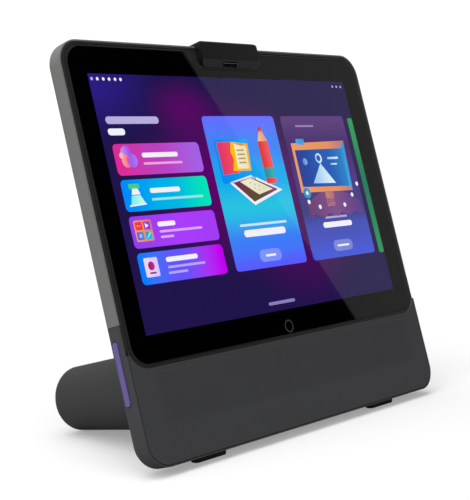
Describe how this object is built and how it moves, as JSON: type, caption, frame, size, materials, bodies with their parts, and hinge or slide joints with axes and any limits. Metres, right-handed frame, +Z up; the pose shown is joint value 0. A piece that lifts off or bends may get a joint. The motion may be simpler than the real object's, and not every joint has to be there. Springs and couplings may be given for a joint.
{
  "type": "smart display",
  "caption": "Tilted tabletop touch display in a thin slab with a speaker chin, a rocker key on its left side, a lift-off camera hood and a wide battery pod as its rear leg.",
  "frame": {"origin": "middle of the footprint's bounding box, on the table", "axes": "+X to the display's right as its user sees it, +Y from the screen to the pod behind, +Z up"},
  "size_m": [0.2499, 0.106, 0.2158],
  "materials": {
    "cover_grey": "fine moulded texture",
    "housing_charcoal": "fine moulded texture",
    "grille_charcoal": "perforated, matt",
    "ring_black": "satin",
    "cover_glass": "polished, black border",
    "print_grey": "printed",
    "adhesive": "soft",
    "screen": "lit picture",
    "light_guide": "clear",
    "flex": "polyimide film",
    "mid_metal": "die cast",
    "circuit": "solder mask",
    "chip": "moulded",
    "can_steel": "tinned",
    "graphite": "copper foil",
    "gold": "plated",
    "lens_glass": "coated",
    "rubber_black": "matt",
    "basket_steel": "pressed",
    "cone_paper": "pulp cone, rubber edge",
    "magnet": "plated",
    "key_purple": "satin",
    "pod_charcoal": "fine moulded texture",
    "tray_plastic": "moulded",
    "cell_wrap": "shrink film",
    "lead_wrap": "insulation",
    "hood_black": "fine moulded texture",
    "mirror": "silvered",
    "screw_steel": "zinc plated"
  },
  "bodies": {
    "display": {"rear_cover": "cover_grey", "lower_housing": "housing_charcoal", "front_panel": "housing_charcoal", "grille": "grille_charcoal", "bezel_ring": "ring_black", "camera_tab": "ring_black", "cover_glass": "cover_glass", "home_ring": "print_grey", "glass_bond": "adhesive", "lcd_panel": "screen", "backlight": "light_guide", "display_flex": "flex", "mid_frame": "mid_metal", "main_board": "circuit", "processor": "chip", "shield_can": "can_steel", "heat_spreader": "graphite", "antenna_left": "gold", "antenna_right": "gold", "camera_module": "chip", "camera_lens": "lens_glass", "microphones": "can_steel", "speaker_gasket_left": "rubber_black", "speaker_gasket_right": "rubber_black", "speaker_frame_left": "basket_steel", "speaker_frame_right": "basket_steel", "speaker_cone_left": "cone_paper", "speaker_cone_right": "cone_paper", "speaker_magnet_left": "magnet", "speaker_magnet_right": "magnet", "key_bracket": "can_steel", "key_board": "circuit", "key_switches": "chip", "pod_shell": "pod_charcoal", "battery_tray": "tray_plastic", "battery_cell_1": "cell_wrap", "battery_cell_2": "cell_wrap", "battery_cell_3": "cell_wrap", "battery_cell_4": "cell_wrap", "battery_lead": "lead_wrap", "power_socket": "can_steel", "socket_board": "circuit", "slab_foot": "rubber_black", "pod_foot": "rubber_black", "frame_screws": "screw_steel", "board_screws": "screw_steel", "panel_screws": "screw_steel", "pod_screws": "screw_steel", "speaker_screws": "screw_steel"},
    "rocker_key": {"side_key": "key_purple"},
    "hood": {"hood_shell": "hood_black", "hood_mirror": "mirror", "hood_pad": "rubber_black"}
  },
  "joints": [
    {"name": "key_pivot", "type": "hinge", "parent": "display", "child": "rocker_key", "pos_m": [-0.11905, -0.03216, 0.04948], "axis": [0, 0.9532, -0.3024], "range_deg": [-2, 2], "stiffness_Nm_per_rad": 0.05},
    {"name": "hood_lift", "type": "slide", "parent": "display", "child": "hood", "axis": [0, 0.3024, 0.9532], "range_m": [0, 0.03]}
  ]
}
